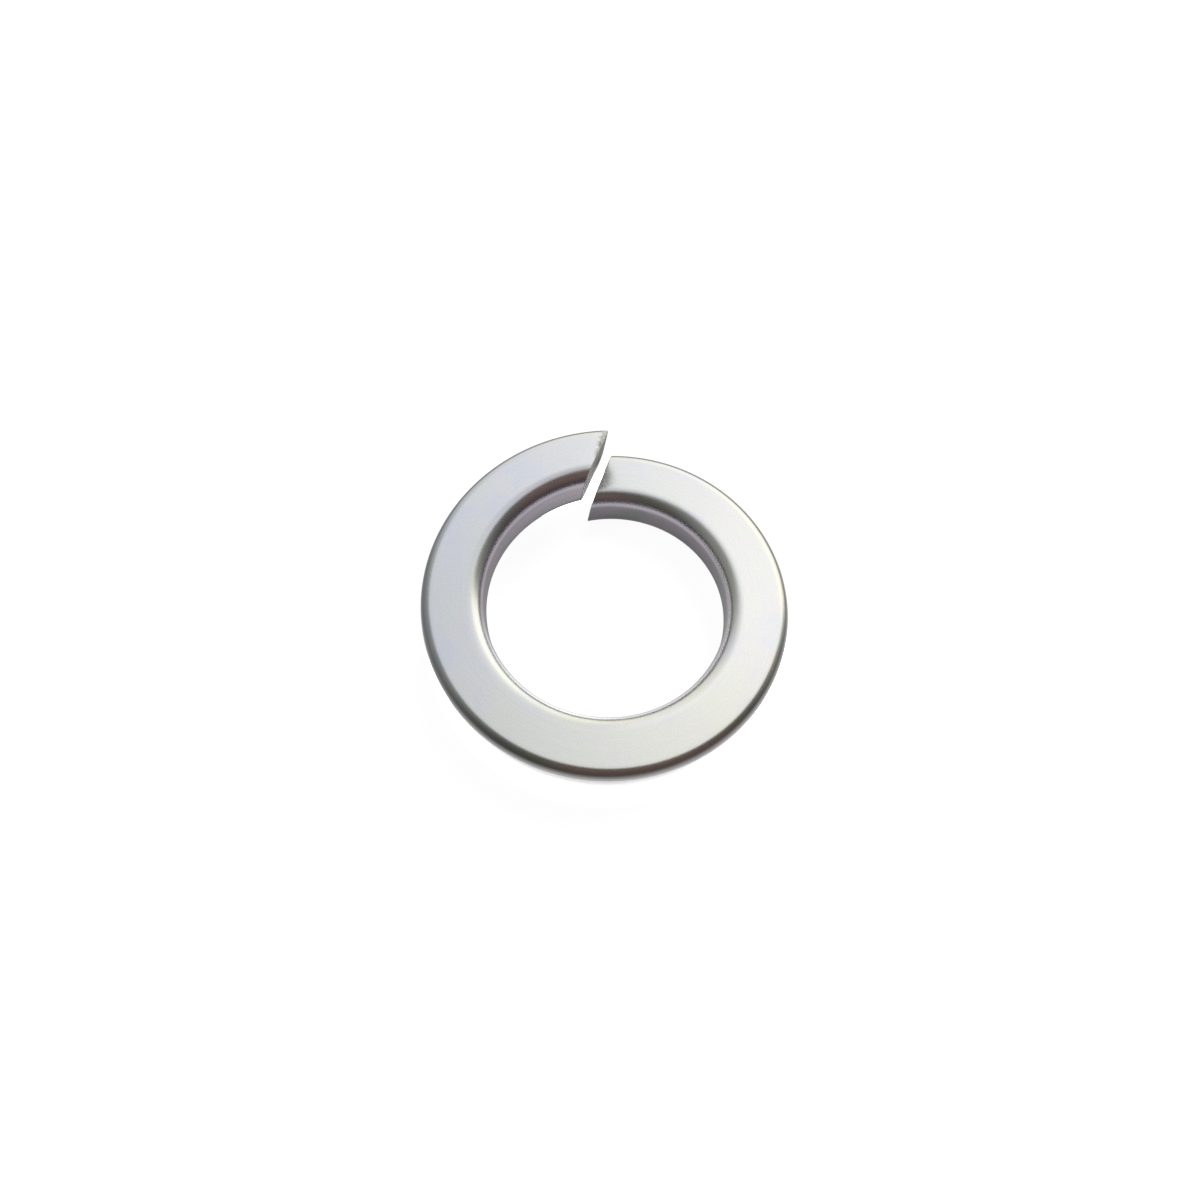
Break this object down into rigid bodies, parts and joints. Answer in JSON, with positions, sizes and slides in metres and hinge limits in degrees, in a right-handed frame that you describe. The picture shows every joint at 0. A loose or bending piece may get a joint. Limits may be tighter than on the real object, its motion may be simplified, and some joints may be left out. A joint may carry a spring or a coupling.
{
  "type": "spring lock washer",
  "caption": "Left-hand coiled spring lock washer of rectangular steel wire, cut through on a slant so its ends stand apart in height.",
  "frame": {"origin": "on the bore axis, level with the lowest point of the low end's underside", "axes": "+Z along the bore axis, from the low end up to the high end; +Y from the bore axis to the middle of the split"},
  "size_m": [0.0468, 0.0468, 0.0131],
  "materials": {
    "steel": "bright zinc plated, satin faces"
  },
  "bodies": {
    "root": {"washer": "steel"}
  },
  "joints": []
}
